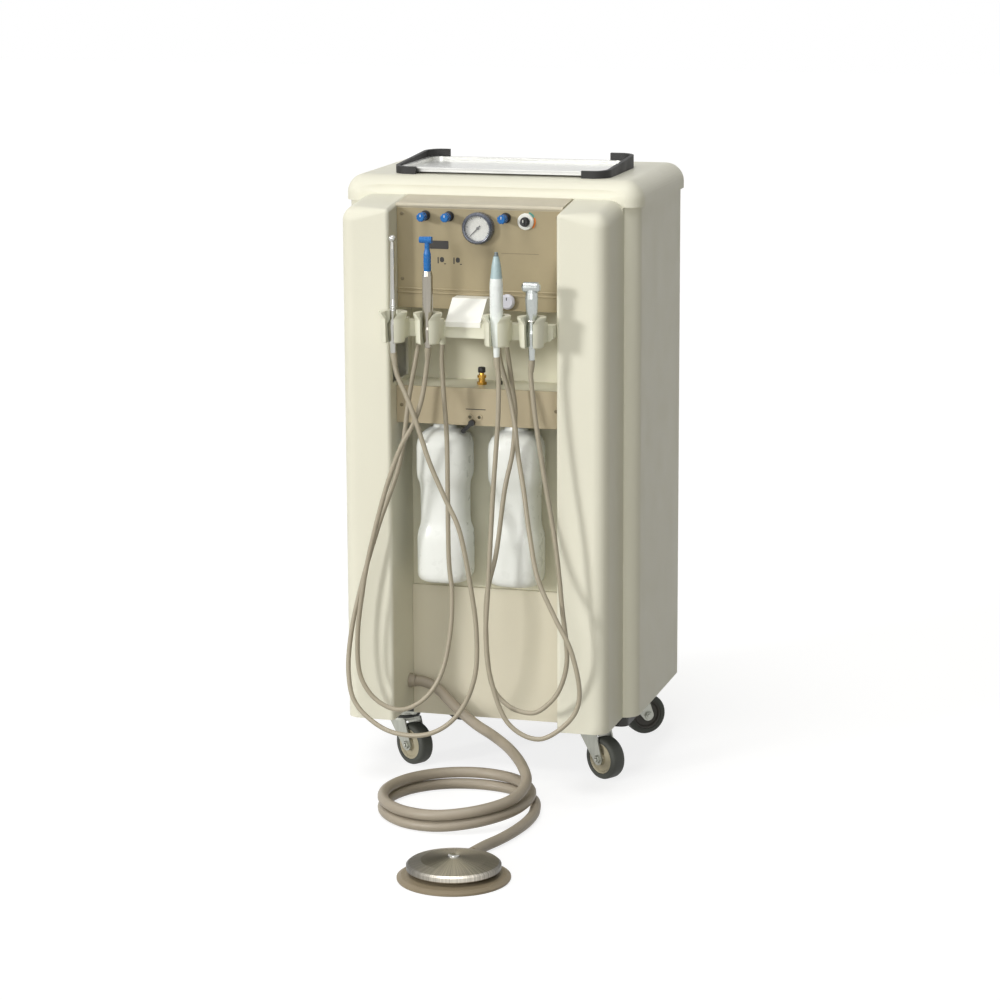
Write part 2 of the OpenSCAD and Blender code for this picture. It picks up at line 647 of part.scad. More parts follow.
module turbine_handpiece() color(steel) in_cup(3) difference() {
    union() {
        turned([[0, -tail_drop[3]], [4.3, -tail_drop[3]], [5, -2], [seat_low, 0.4],
            [seat_high, 20.4], [7.4, 25], [7.2, 36], [8.6, 56], [9.2, turbine_length - 16],
            [8.6, turbine_length - 8], [6.5, turbine_length - 2], [0, turbine_length - 2]]);
        translate([-11, 0, turbine_length]) rotate([0, 90, 0]) cylinder(20, 7.6, 7.6);
        translate([-13.5, 0, turbine_length]) rotate([0, 90, 0]) cylinder(3, 5, 7.6);
        translate([8.5, 0, turbine_length]) rotate([0, 90, 0]) cylinder(3.5, 7.6, 4.4);
    }
    translate([-15, 0, turbine_length]) rotate([0, 90, 0]) cylinder(14, 0.8, 0.8);
}

// ---- hoses ----
// smooth point on a route, t counts whole route points
function curve_at(route, t) = let (n = len(route) - 1, i = min(floor(t), n - 1), f = t - i,
        a = route[max(i - 1, 0)], b = route[i], c = route[i + 1], d = route[min(i + 2, n)])
    0.5 * (2 * b + (c - a) * f + (2 * a - 5 * b + 4 * c - d) * f * f
        + (3 * b - a - 3 * c + d) * f * f * f);
function unit(v) = v / norm(v);
// keeps the route on its end points when a size moves them
function joined(start, route, finish, start_move, finish_move) = let (n = len(route) + 1)
    concat([start], [for (i = [0:n - 2]) route[i] + start_move * (1 - (i + 1) / n)
        + finish_move * (i + 1) / n], [finish]);

// round tube along a route; its end rings lie flat on what they meet
module tube(route, radius, rings, up, floor_z, first, last) {
    steps = rings - 1;
    line = [for (i = [0:steps]) let (p = curve_at(route, i * (len(route) - 1) / steps))
        [p[0], p[1], max(p[2], floor_z)]];
    skin = [for (i = [0:steps]) let (
            ahead = i == 0 ? first : i == steps ? last
                : unit(line[i + 1] - line[i - 1]),
            side = unit(cross(ahead, up)), over = cross(side, ahead))
        for (k = [0:7]) line[i] + radius * (cos(k * 45 + 22.5) * side + sin(k * 45 + 22.5) * over)];
    polyhedron(skin, concat([[for (k = [0:7]) k]],
        [for (i = [0:steps - 1], k = [0:7]) let (a = i * 8 + k, b = i * 8 + (k + 1) % 8)
            [a, a + 8, b + 8, b]],
        [[for (k = [0:7]) steps * 8 + 7 - k]]));
}

base_cup_x = [-103, -51, 51, 103];
base_nipple_x = [-79, -43, 41, 53];

module instrument_hose(i, route) color(taupe) placed()
    tube(joined([cup_x[i], cup_y, cup_bottom - tail_drop[i]],
        [for (p = route) p + [0, 0, cup_bottom + 10]],
        [nipple_x[i], nipple_y, nipple_bottom],
        [cup_x[i] - base_cup_x[i], cup_y + 50, 0], [nipple_x[i] - base_nipple_x[i], 0, 0]),
        hose_diameter / 2, 76, [0, 1, 0], 0, [0, 0, -1], [0, 0, 1]);

module instrument_hose_1() instrument_hose(0, hose_1_route);
module instrument_hose_2() instrument_hose(1, hose_2_route);
module instrument_hose_3() instrument_hose(2, hose_3_route);
module instrument_hose_4() instrument_hose(3, hose_4_route);

module foot_hose() color(taupe) placed()
    tube(joined([-column_inner + 10.3, outlet_y, outlet_z], foot_hose_route,
        [foot_side, -foot_distance + foot_diameter / 2 + 12, 8],
        [125 - column_inner, outlet_y - 80, outlet_z - 141],
        [foot_side - 85, 392 - foot_distance + foot_diameter / 2 - 78, 0]),
        foot_hose_diameter / 2, 80, [0, 0, 1], foot_hose_diameter / 2, [1, 0, 0], [0, -1, 0]);

module hose_gland() color(dark) placed() translate([-column_inner, outlet_y, outlet_z])
    rotate([0, 90, 0]) difference() {
        union() {
            translate([0, 0, -4.5]) cylinder(5, 8.9, 8.9);
            cylinder(3, 11, 11);
            translate([0, 0, 3]) cylinder(7, 10, 9);
        }
        translate([0, 0, -5]) cylinder(13, 5, 5);
    }

// ---- tray ----
module tray_outline(grow, z0, z1, r) slab(tray_shift - tray_width / 2 - grow,
    tray_shift + tray_width / 2 + grow, tray_middle_y - tray_depth / 2 - grow,
    tray_middle_y + tray_depth / 2 + grow, r, r, z0, z1);

tray_floor = cabinet_height + rail_base;

module instrument_tray() color(steel) placed() difference() {
    union() {
        tray_outline(-8, tray_floor, tray_floor + tray_height, 14);
        tray_outline(0, tray_floor + tray_height - 1.5, tray_floor + tray_height, 20);
    }
    tray_outline(-9.5, tray_floor + 1.5, tray_floor + tray_height + 1, 12.5);
}

// rubber rail that holds one short side of the tray, higher at the back
module tray_rail() difference() {
    intersection() {
        tray_outline(rail_wall, cabinet_height, cabinet_height + rail_back, 24);
        along_x(-body_half, body_half) polygon([
            [tray_middle_y - tray_depth / 2 - rail_wall - 1, cabinet_height],
            [tray_middle_y + tray_depth / 2 + rail_wall + 1, cabinet_height],
            [tray_middle_y + tray_depth / 2 + rail_wall + 1, cabinet_height + rail_back],
            [tray_middle_y - tray_depth / 2 - rail_wall - 1, cabinet_height + rail_front]]);
    }
    tray_outline(body_gap, cabinet_height + rail_base, cabinet_height + 60, 20.4);
    tray_outline(-14, cabinet_height - 1, cabinet_height + 60, 8);
    box(tray_shift - tray_width / 2 + 30, tray_shift + tray_width / 2 - 34, 0, cabinet_depth,
        cabinet_height - 1, cabinet_height + 60);
}

module tray_rail_left() color(dark) placed() intersection() {
    tray_rail();
    box(-body_half, tray_shift, 0, cabinet_depth, 0, 2 * cabinet_height);
}

module tray_rail_right() color(dark) placed() intersection() {
    tray_rail();
    box(tray_shift, body_half, 0, cabinet_depth, 0, 2 * cabinet_height);
}

// ---- casters ----
axle_z = wheel_diameter / 2;
crown_z = wheel_diameter + 4;

module at_caster(i) placed() translate([caster_x[i], caster_y[i], 0]) children();
module at_fork(i) at_caster(i) rotate([0, 0, caster_turn[i]]) children();

module caster_plates() color(steel) for (i = [0:3]) at_caster(i) difference() {
    union() {
        slab(-28, 28, -27, 27, 5, 5, caster_height - 3, caster_height);
        translate([0, 0, caster_height - 9]) cylinder(7, 23, 25);
    }
    translate([0, 0, caster_height - 10]) cylinder(7, 6, 6);
    for (x = [-21, 21], y = [-20, 20]) translate([x, y, caster_height - 4])
        cylinder(5, 3.2, 3.2);
}

module fork_leg(y0, y1) along_y(y0, y1) hull() {
    translate([caster_trail, axle_z]) circle(9, $fn = 32);
    translate([-18, crown_z]) square([38, 3]);
}

module caster_fork(i) color(steel) at_fork(i) difference() {
    union() {
        translate([0, 0, crown_z]) cylinder(4, 22, 22);
        translate([0, 0, crown_z + 2]) cylinder(caster_height - crown_z - 5.5, 5.5, 5.5);
        fork_leg(-wheel_width / 2 - 4.5, -wheel_width / 2 - 2);
        fork_leg(wheel_width / 2 + 2, wheel_width / 2 + 4.5);
        box(-18, 20, -wheel_width / 2 - 4.5, wheel_width / 2 + 4.5, crown_z, crown_z + 3);
    }
    translate([caster_trail, 0, axle_z])
        y_rod(0, 0, 4, -wheel_width, wheel_width);
}

module caster_wheel(i) color(dark) at_fork(i) translate([caster_trail, 0, axle_z])
    rotate([90, 0, 0]) union() {
        rotate_extrude() polygon([[0, -wheel_width / 2 + 3], [axle_z - 10, -wheel_width / 2 + 3],
            [axle_z - 9, -wheel_width / 2], [axle_z - 3, -wheel_width / 2],
            [axle_z, -wheel_width / 2 + 4], [axle_z, wheel_width / 2 - 4],
            [axle_z - 3, wheel_width / 2], [axle_z - 9, wheel_width / 2],
            [axle_z - 10, wheel_width / 2 - 3], [0, wheel_width / 2 - 3]]);
        cylinder(wheel_width + 2, 9, 9, center = true);
        cylinder(wheel_width + 13, 4 - fit_gap, 4 - fit_gap, center = true);
    }

module caster_fork_1() caster_fork(0);
module caster_fork_2() caster_fork(1);
module caster_fork_3() caster_fork(2);
module caster_fork_4() caster_fork(3);
module caster_wheel_1() caster_wheel(0);
module caster_wheel_2() caster_wheel(1);
module caster_wheel_3() caster_wheel(2);
module caster_wheel_4() caster_wheel(3);

// ---- foot control ----
module at_foot() placed() translate([foot_side, -foot_distance, 0]) children();

module foot_base() color(tan) at_foot() difference() {
    union() {
        turned([[0, 0], [foot_diameter / 2 - 1, 0], [foot_diameter / 2, 1.5],
            [foot_diameter / 2, 3.5], [foot_diameter / 2 - 6, 6.5], [foot_diameter / 2 - 12, 7.5],
            [pedal_diameter / 2 - 14, foot_base_height], [0, foot_base_height]], $fn = 64);
        translate([0, foot_diameter / 2 - 11, 8]) rotate([-90, 0, 0]) cylinder(23, 7.9, 7.8);
    }
    translate([0, 0, pedal_bottom - stem_depth - 5.5]) cylinder(20, 8.1, 8.1);
    translate([0, foot_diameter / 2 + 2, 8]) rotate([-90, 0, 0]) cylinder(11, 4, 4);
}

module foot_pedal() color(steel) at_foot() {
    r = pedal_diameter / 2;
    translate([0, 0, pedal_bottom]) {
        turned([[0, 18], [16, 17], [r - 20, 13.5], [r - 3, 9.5], [r, 7], [r, 1.5], [r - 1, 0],
            [r - 3, 0], [r - 3, 5], [r - 5, 7], [r - 20, 11], [16, 15], [0, 16]], $fn = 64);
        translate([0, 0, -stem_depth]) cylinder(stem_depth + 16.5, 8, 8);
    }
}

// ---- inside the cabinet ----
module air_compressor() color(dark) placed() translate([0, (column_depth + body_back) / 2, 0]) {
    box(-tank_length / 2 - 15, tank_length / 2 + 15, -tank_radius - 10, tank_radius + 10,
        caster_height + 3, body_bottom + 4);
    translate([-tank_length / 2, -20, body_bottom + tank_radius + 4]) rotate([0, 90, 0])
        cylinder(tank_length, tank_radius, tank_radius);
    translate([0, -20, body_bottom + 2 * tank_radius - 10])
        cylinder(tank_radius, 0.8 * tank_radius, 0.65 * tank_radius);
    box(-tank_length / 4, tank_length / 4, -60, 20, body_bottom + 2, body_bottom + 20);
}

module power_inlet() color(dark) placed() difference() {
    union() {
        box(-29, 29, body_back - 1, body_back + 1, body_bottom + 87, body_bottom + 123);
        box(-25.7, 25.7, body_back - 26, body_back, body_bottom + 90.3, body_bottom + 119.7);
    }
    box(-13, 13, body_back - 18, body_back + 2, body_bottom + 96, body_bottom + 114);
}

base_frame();
cabinet_shell();
rear_panel();
left_column();
right_column();
top_cover();
control_panel();
recess_liner();
service_box();
service_panel();
lower_front_panel();
valve_bushings();
air_knob();
water_knob();
coolant_knob();
selector_dial();
selector_knob();
pressure_gauge();
gauge_dial();
gauge_needle();
round_control();
brass_coupling();
drain_lever();
holder_bar();
holder_bracket();
holder_cup_1();
holder_cup_2();
holder_cup_3();
holder_cup_4();
air_water_syringe();
saliva_ejector();
ejector_tip();
scaler_handpiece();
turbine_handpiece();
instrument_hose_1();
instrument_hose_2();
instrument_hose_3();
instrument_hose_4();
water_bottle();
waste_bottle();
bottle_caps();
instrument_tray();
tray_rail_left();
tray_rail_right();
caster_plates();
caster_fork_1();
caster_fork_2();
caster_fork_3();
caster_fork_4();
caster_wheel_1();
caster_wheel_2();
caster_wheel_3();
caster_wheel_4();
foot_base();
foot_pedal();
foot_hose();
hose_gland();
air_compressor();
power_inlet();
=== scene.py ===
import bpy
import bmesh
import math
from mathutils import Matrix, Vector


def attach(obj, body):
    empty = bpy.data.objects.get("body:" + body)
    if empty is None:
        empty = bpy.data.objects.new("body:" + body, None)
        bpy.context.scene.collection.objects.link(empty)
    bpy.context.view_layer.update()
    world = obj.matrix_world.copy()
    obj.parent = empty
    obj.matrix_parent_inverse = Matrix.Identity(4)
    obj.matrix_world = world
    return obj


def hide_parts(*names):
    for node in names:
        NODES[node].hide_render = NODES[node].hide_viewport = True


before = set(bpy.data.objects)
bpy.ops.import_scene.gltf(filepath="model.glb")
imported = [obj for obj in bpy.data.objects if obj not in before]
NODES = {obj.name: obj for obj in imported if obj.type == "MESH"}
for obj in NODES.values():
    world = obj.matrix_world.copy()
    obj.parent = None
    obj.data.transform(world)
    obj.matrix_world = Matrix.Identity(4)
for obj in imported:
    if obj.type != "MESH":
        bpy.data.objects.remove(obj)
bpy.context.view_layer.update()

FY = 0.034  # depth of the column faces in the shared frame
PANEL_Y, SERVICE_Y, CUP_Y = 0.040, 0.030, -0.050  # depths measured from the column faces
CUP_X, CUP_BOTTOM = (-0.103, -0.051, 0.051, 0.103), 0.678
KNOB_X, KNOB_INDEX_Z = (-0.081, -0.045, 0.040), 0.8525
SELECTOR_X, SELECTOR_Z, GAUGE_Z = 0.070, 0.8455, 0.8345
FOOT_X, FOOT_Y = 0.085, -0.392
WHEEL_RADIUS, CASTER_TRAIL = 0.032, 0.024
HOSE_WIDTH, FOOT_HOSE_WIDTH = 0.007, 0.016

# ---------------------------------------------------------------- camera
az, pitch, roll = math.radians(15.95), math.radians(11.793), math.radians(-0.267)
back = Vector((math.sin(az) * math.cos(pitch), -math.cos(az) * math.cos(pitch), math.sin(pitch)))
right = Vector((math.cos(az), math.sin(az), 0))
up = back.cross(right)
r2 = right * math.cos(roll) + up * math.sin(roll)
u2 = -right * math.sin(roll) + up * math.cos(roll)
camera = bpy.data.objects.new("camera", bpy.data.cameras.new("camera"))
bpy.context.scene.collection.objects.link(camera)
camera.matrix_world = Matrix(((r2.x, u2.x, back.x, 1.2856), (r2.y, u2.y, back.y, -4.3203),
                              (r2.z, u2.z, back.z, 1.3994), (0, 0, 0, 1)))
camera.data.sensor_width = 36
camera.data.lens = 36 * 3188.7 / 1000
camera.data.shift_x, camera.data.shift_y = -0.00025, -0.00686
camera.data.clip_end = 40
bpy.context.scene.camera = camera


# ---------------------------------------------------------------- materials
def lin(rgb):
    return tuple((c / 255 / 12.92 if c / 255 <= 0.04045 else ((c / 255 + 0.055) / 1.055) ** 2.4)
                 for c in rgb) + (1,)


class Shader:
    """A material's node tree with one Principled shader and short helpers."""

    def __init__(self, name, rough=0.4, metal=0.0, **sockets):
        self.mat = bpy.data.materials.new(name)
        self.mat.use_nodes = True
        self.tree = self.mat.node_tree
        self.bsdf = self.tree.nodes["Principled BSDF"]
        self.bsdf.inputs["Roughness"].default_value = rough
        self.bsdf.inputs["Metallic"].default_value = metal
        for key, value in sockets.items():
            self.bsdf.inputs[key.replace("_", " ")].default_value = value
        self.coords = self.node("ShaderNodeTexCoord").outputs["Object"]

    def node(self, kind, **settings):
        n = self.tree.nodes.new(kind)
        for key, value in settings.items():
            setattr(n, key, value)
        return n

    def link(self, a, b):
        self.tree.links.new(a, b)

    def mapped(self, scale=(1, 1, 1), shift=(0, 0, 0)):
        m = self.node("ShaderNodeMapping")
        m.inputs["Scale"].default_value = scale
        m.inputs["Location"].default_value = shift
        self.link(self.coords, m.inputs["Vector"])
        return m.outputs["Vector"]

    def noise(self, scale, detail=3, vector=None, rough=0.55):
        n = self.node("ShaderNodeTexNoise")
        n.inputs["Scale"].default_value = scale
        n.inputs["Detail"].default_value = detail
        n.inputs["Roughness"].default_value = rough
        self.link(vector or self.coords, n.inputs["Vector"])
        return n.outputs["Fac"]

    def ramp(self, fac, stops):
        r = self.node("ShaderNodeValToRGB")
        while len(r.color_ramp.elements) < len(stops):
            r.color_ramp.elements.new(0.5)
        for e, (at, colour) in zip(r.color_ramp.elements, stops):
            e.position, e.color = at, colour if len(colour) == 4 else tuple(colour) + (1,)
        self.link(fac, r.inputs["Fac"])
        return r.outputs["Color"]

    def mix(self, fac, a, b):
        m = self.node("ShaderNodeMix", data_type="RGBA")
        for socket, value in ((m.inputs[0], fac), (m.inputs[6], a), (m.inputs[7], b)):
            if hasattr(value, "node"):
                self.link(value, socket)
            else:
                socket.default_value = value
        return m.outputs[2]

    def maths(self, op, a, b=0.0):
        m = self.node("ShaderNodeMath", operation=op)
        for socket, value in zip(m.inputs, (a, b)):
            if hasattr(value, "node"):
                self.link(value, socket)
            else:
                socket.default_value = value
        return m.outputs[0]

    def colour(self, value):
        self.link(value, self.bsdf.inputs["Base Color"])

    def roughness(self, value):
        self.link(value, self.bsdf.inputs["Roughness"])

    def bump(self, height, strength, distance):
        b = self.node("ShaderNodeBump")
        b.inputs["Strength"].default_value = strength
        b.inputs["Distance"].default_value = distance
        self.link(height, b.inputs["Height"])
        self.link(b.outputs["Normal"], self.bsdf.inputs["Normal"])


def shade(rgb, k):
    return tuple(min(1.0, c * k) for c in lin(rgb)[:3]) + (1,)


def plastic(name, rgb, rough=0.38, spread=0.05, grain=900, depth=0.12, large=6, **sockets):
    """Moulded or painted surface: cloudy tone, a little wear in the gloss and a fine skin."""
    s = Shader(name, rough, **sockets)
    s.colour(s.ramp(s.noise(large, 4), [(0.3, shade(rgb, 1 - spread)), (0.7, shade(rgb, 1 + spread))]))
    s.roughness(s.ramp(s.noise(large * 9, 5), [(0.25, (rough - 0.06,) * 3), (0.8, (rough + 0.09,) * 3)]))
    s.bump(s.noise(grain, 2), depth, 0.0004)
    return s.mat


def metal(name, rgb, rough=0.25, stretch=(1, 1, 1), streak=220, spread=0.12, depth=0.05, **sockets):
    """Metal with fine drawn or polished streaks."""
    s = Shader(name, rough, 1.0, **sockets)
    lines = s.noise(streak, 5, s.mapped(stretch))
    s.colour(s.ramp(lines, [(0.25, shade(rgb, 1 - spread)), (0.75, shade(rgb, 1 + spread))]))
    s.roughness(s.ramp(s.noise(streak * 0.4, 4, s.mapped(stretch)),
                       [(0.2, (rough * 0.7,) * 3), (0.85, (rough * 1.4,) * 3)]))
    s.bump(lines, depth, 0.0002)
    return s.mat


def rubber(name, rgb, rough=0.62):
    s = Shader(name, rough)
    dust = s.maths("MULTIPLY", s.noise(35, 6), s.noise(7, 2))
    s.colour(s.ramp(dust, [(0.18, shade(rgb, 0.85)), (0.42, shade(rgb, 1.35))]))
    s.roughness(s.ramp(dust, [(0.1, (rough - 0.1,) * 3), (0.5, (rough + 0.15,) * 3)]))
    s.bump(s.noise(1400, 2), 0.25, 0.0003)
    return s.mat


CREAM = plastic("cream", (229, 227, 211), 0.36, 0.018, 700, 0.10, 3, Specular_IOR_Level=0.14)
CREAM_BACK = plastic("cream_liner", (222, 219, 198), 0.42, 0.02, 700, 0.10, 3,
                     Specular_IOR_Level=0.3)
LOWER = plastic("lower_panel", (219, 213, 193), 0.40, 0.02, 700, 0.10, 3)
TAN_DARK = plastic("tan_print", (126, 115, 90), 0.5, 0.05, 1600, 0.2, 30)
TAN_SERVICE = plastic("tan_service", (182, 169, 140), 0.42, 0.03, 1600, 0.30, 8)
BLACK = plastic("black_moulding", (24, 23, 22), 0.45, 0.12, 1500, 0.25, 20)
BLACK_FRAME = plastic("black_frame", (40, 39, 36), 0.5, 0.12, 1100, 0.3, 20)
BLUE = plastic("blue_moulding", (4, 104, 178), 0.25, 0.05, 900, 0.08, 30)
WHITE = plastic("white_moulding", (232, 232, 226), 0.28, 0.02, 900, 0.06, 20)
WHITE_METAL = plastic("white_enamel", (243, 243, 236), 0.35, 0.015, 900, 0.12, 15)
PEARL = plastic("pearl_control", (206, 206, 216), 0.3, 0.03, 900, 0.06, 20)
CUP = plastic("cup_moulding", (226, 225, 206), 0.33, 0.02, 900, 0.08, 15)
CHROME = metal("chrome", (184, 183, 177), 0.12, (1, 1, 0.05), 500, 0.06, 0.02)
BEZEL = plastic("bezel", (98, 102, 112), 0.26, 0.06, 900, 0.06, 40, Metallic=0.35)
CHROME_SOFT = metal("satin_chrome", (184, 188, 185), 0.24, (1, 1, 0.05), 700, 0.08, 0.04)
STEEL_TRAY = metal("tray_steel", (214, 214, 210), 0.3, (0.04, 1, 1), 900, 0.05, 0.06)
ZINC = metal("zinc", (172, 173, 164), 0.42, (1, 1, 0.2), 260, 0.12, 0.12)
BRASS = metal("brass", (196, 152, 72), 0.28, (1, 1, 0.2), 400, 0.1, 0.05)
RUBBER = rubber("black_rubber", (27, 26, 25))
TYRE = rubber("tyre_rubber", (64, 66, 60), 0.6)
# darker copy of the hub moulding: painted shade for the rear-right hub, which sits in the cabinet's
# shadow
HUB_PAINTED_SHADE = plastic("hub_painted_shade", (60, 57, 50), 0.5, 0.1, 1200, 0.2, 30)
HUB = plastic("hub_moulding", (172, 164, 140), 0.48, 0.05, 1200, 0.2, 30)
HOSE = plastic("hose_skin", (166, 157, 138), 0.42, 0.05, 500, 0.12, 25)
FOOT_HOSE = plastic("foot_hose_skin", (158, 148, 132), 0.46, 0.06, 420, 0.16, 20)
FOOT_BASE = plastic("foot_base_paint", (138, 125, 102), 0.45, 0.05, 1300, 0.3, 15)
DARK_METAL = metal("dark_casting", (70, 70, 68), 0.5, (1, 1, 1), 150, 0.2, 0.3)
PLATE = plastic("bare_plate", (44, 41, 38), 0.35, 0.08, 1200, 0.1, 60)
ORANGE = plastic("orange_mark", (214, 120, 44), 0.4, 0.04, 1200, 0.1, 60)
TEAL = plastic("teal_mark", (64, 140, 128), 0.4, 0.04, 1200, 0.1, 60)
INK = plastic("dial_ink", (30, 30, 32), 0.5, 0.05, 1200, 0.1, 60)


def bottle_material():
    s = Shader("milky_bottle", 0.3, IOR=1.45, Coat_Weight=0.3, Coat_Roughness=0.12)
    cloud = s.noise(16, 3, s.mapped((1, 1, 0.35)))
    s.colour(s.ramp(cloud, [(0.3, lin((232, 235, 230))), (0.7, lin((247, 249, 246)))]))
    s.roughness(s.ramp(s.noise(60, 4), [(0.2, (0.22,) * 3), (0.8, (0.38,) * 3)]))
    s.bump(s.noise(26, 1, s.mapped((1, 1, 0.3)), 0.3), 0.5, 0.006)
    return s.mat


def turned_disc(name, centre, rgb, rough):
    """Spun metal: streaks that run out from the middle of the disc, and two broad bright sectors painted
    into the colour as highlight.
    """
    s = Shader(name, rough, 1.0, Anisotropic=0.75)
    v = s.mapped(shift=(-centre[0], -centre[1], 0))
    parts = s.node("ShaderNodeSeparateXYZ")
    s.link(v, parts.inputs[0])
    angle = s.maths("ARCTAN2", parts.outputs[1], parts.outputs[0])
    ring = s.node("ShaderNodeCombineXYZ")
    s.link(angle, ring.inputs[0])
    fine = s.noise(26, 6, ring.outputs[0], 0.75)
    # painted highlight: the sine of twice the angle brightens two broad sectors of the disc in place of
    # its reflections; the fine noise gives the spun streaks
    painted_highlight_sectors = s.maths("SINE", s.maths("ADD", s.maths("MULTIPLY", angle, 2.0), 4.15))
    glow = s.maths("ADD", s.maths("MULTIPLY", painted_highlight_sectors, 0.20), fine)
    s.colour(s.ramp(glow, [(0.3, shade(rgb, 0.30)), (0.52, shade(rgb, 0.75)), (0.74, shade(rgb, 1.75))]))
    s.roughness(s.ramp(fine, [(0.2, (rough * 0.8,) * 3), (0.85, (rough * 1.3,) * 3)]))
    tangent = s.node("ShaderNodeTangent", direction_type="RADIAL", axis="Z")
    s.link(tangent.outputs[0], s.bsdf.inputs["Tangent"])
    s.bump(fine, 0.05, 0.0002)
    return s.mat


def banded(name, low, high, below, above, rough=0.28):
    """Two tones of one moulding that meet at a height, with the usual fine skin; on the control panel
    the lighter upper tone is a painted highlight on the sloping top flange.
    """
    s = Shader(name, rough)
    parts = s.node("ShaderNodeSeparateXYZ")
    s.link(s.coords, parts.inputs[0])
    step = s.node("ShaderNodeMapRange")
    step.inputs["From Min"].default_value, step.inputs["From Max"].default_value = low, high
    s.link(parts.outputs["Z"], step.inputs["Value"])
    tone = s.noise(30, 3)
    a = s.ramp(tone, [(0.3, shade(below, 0.97)), (0.7, shade(below, 1.03))])
    b = s.ramp(tone, [(0.3, shade(above, 0.95)), (0.7, shade(above, 1.05))])
    s.colour(s.mix(step.outputs[0], a, b))
    s.roughness(s.ramp(s.noise(90, 4), [(0.25, (rough - 0.05,) * 3), (0.8, (rough + 0.08,) * 3)]))
    s.bump(s.noise(900, 2), 0.06, 0.0003)
    return s.mat


def glass_material():
    s = Shader("gauge_glass", 0.03, IOR=1.3, Alpha=0.10)
    s.colour(s.ramp(s.noise(40, 2), [(0.3, (0.95, 0.97, 0.98)), (0.7, (1, 1, 1))]))
    s.roughness(s.ramp(s.noise(160, 4), [(0.3, (0.02,) * 3), (0.8, (0.06,) * 3)]))
    return s.mat


# the lighter tan above z 0.8625 is painted highlight on the panel's sloping top flange; the lower tone
# is the panel's own tan
TAN = banded("tan_panel", 0.8600, 0.8625, (158, 145, 114), (196, 188, 168), 0.42)
BOTTLE = bottle_material()
GLASS = glass_material()
PEDAL = turned_disc("spun_pedal_painted_highlight", (FOOT_X, FOOT_Y + FY), (168, 163, 152), 0.3)
SCALER = banded("scaler_body", 0.7745, 0.7755, (236, 241, 240), (166, 188, 192), 0.26)
NIB = plastic("scaler_nib", (96, 108, 112), 0.35, 0.05, 900, 0.08, 40)
EJECTOR = metal("ejector_tube", (166, 161, 150), 0.12, (1, 1, 0.05), 500, 0.07, 0.02)

USE = {
    CREAM: ["cabinet_shell", "rear_panel", "left_column", "right_column", "top_cover"],
    CREAM_BACK: ["recess_liner", "service_box"],
    LOWER: ["lower_front_panel"],
    TAN: ["control_panel"],
    TAN_SERVICE: ["service_panel"],
    BLACK: ["valve_bushings", "selector_knob", "gauge_needle", "drain_lever",
            "bottle_caps", "power_inlet"],
    BLACK_FRAME: ["base_frame"],
    BLUE: ["air_knob", "water_knob", "coolant_knob", "ejector_tip"],
    WHITE: ["selector_dial", "gauge_dial"],
    PEARL: ["round_control"],
    CHROME: ["air_water_syringe"],
    BEZEL: ["pressure_gauge"],
    CHROME_SOFT: ["turbine_handpiece"],
    EJECTOR: ["saliva_ejector"],
    SCALER: ["scaler_handpiece"],
    BRASS: ["brass_coupling"],
    CUP: ["holder_bar", "holder_cup_1", "holder_cup_2", "holder_cup_3", "holder_cup_4"],
    WHITE_METAL: ["holder_bracket"],
    STEEL_TRAY: ["instrument_tray"],
    RUBBER: ["tray_rail_left", "tray_rail_right"],
    ZINC: ["caster_plates", "caster_fork_1", "caster_fork_2", "caster_fork_3", "caster_fork_4"],
    FOOT_BASE: ["foot_base"],
    FOOT_HOSE: ["hose_gland"],
    PEDAL: ["foot_pedal"],
    DARK_METAL: ["air_compressor"],
}
for material, names in USE.items():
    for name in names:
        data = NODES[name].data
        data.materials.clear()
        data.materials.append(material)


# ---------------------------------------------------------------- mesh helpers
def place(name, bm, material, body, smooth=35, replaces=()):
    """Turns mesh code into a piece that rides on a body."""
    mesh = bpy.data.meshes.new(name)
    bmesh.ops.recalc_face_normals(bm, faces=bm.faces)
    bm.to_mesh(mesh)
    bm.free()
    mesh.materials.append(material)
    mesh.polygons.foreach_set("use_smooth", [True] * len(mesh.polygons))
    mesh.set_sharp_from_angle(angle=math.radians(smooth))
    piece = bpy.data.objects.new(name, mesh)
    bpy.context.scene.collection.objects.link(piece)
    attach(piece, body)
    if replaces:
        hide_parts(*replaces)
    return piece


def frame_on(origin, axis):
    """Matrix that puts local +Z on axis at origin."""
    return Matrix.Translation(Vector(origin)) @ Vector(axis).to_track_quat("Z", "Y").to_matrix().to_4x4()


def lathe(profile, origin=(0, 0, 0), axis=(0, 0, 1), seg=48, bm=None):
    """Surface of revolution from (radius, height) pairs in metres."""
    bm = bm or bmesh.new()
    place_at = frame_on(origin, axis)
    rings = []
    for r, h in profile:
        if r < 1e-7:
            rings.append([bm.verts.new(place_at @ Vector((0, 0, h)))])
        else:
            rings.append([bm.verts.new(place_at @ Vector((r * math.cos(a), r * math.sin(a), h)))
                          for a in (2 * math.pi * k / seg for k in range(seg))])
    for a, b in zip(rings, rings[1:]):
        for k in range(seg):
            quad = [a[k % len(a)], a[(k + 1) % len(a)], b[(k + 1) % len(b)], b[k % len(b)]]
            quad = [v for i, v in enumerate(quad) if v not in quad[:i]]
            if len(quad) > 2:
                bm.faces.new(quad)
    return bm


